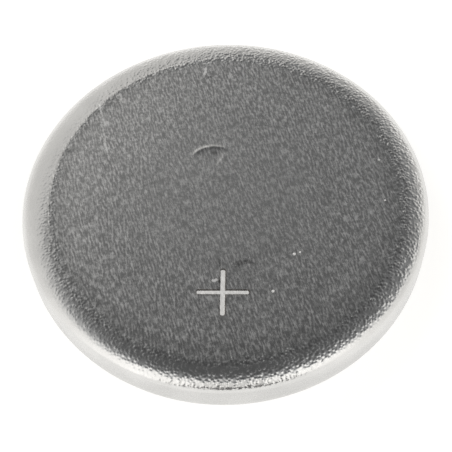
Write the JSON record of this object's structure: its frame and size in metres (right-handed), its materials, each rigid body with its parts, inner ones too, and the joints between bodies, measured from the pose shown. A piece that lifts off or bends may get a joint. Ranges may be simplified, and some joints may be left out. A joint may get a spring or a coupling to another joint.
{
  "type": "lithium coin cell",
  "caption": "Flat round lithium coin cell: drawn steel can with a curled rim, crimped over a gasket and a raised negative cap.",
  "frame": {"origin": "centre of the negative terminal's flat face, which the cell lies on", "axes": "+Z is the axis of revolution, from the negative terminal to the positive face; -Y is the side that the picture is taken from"},
  "size_m": [0.0125, 0.0124, 0.0025],
  "materials": {
    "can_steel": "brushed nickel plate",
    "gasket_plastic": "moulded polypropylene",
    "cap_steel": "brushed nickel plate",
    "lithium": "dull rolled foil",
    "separator_fibre": "non-woven polypropylene",
    "cathode_mix": "pressed powder",
    "collector_steel": "rolled sheet"
  },
  "bodies": {
    "root": {"positive_can": "can_steel", "gasket": "gasket_plastic", "negative_cap": "cap_steel", "lithium_anode": "lithium", "separator": "separator_fibre", "cathode_pellet": "cathode_mix", "cathode_collector": "collector_steel"}
  },
  "joints": []
}
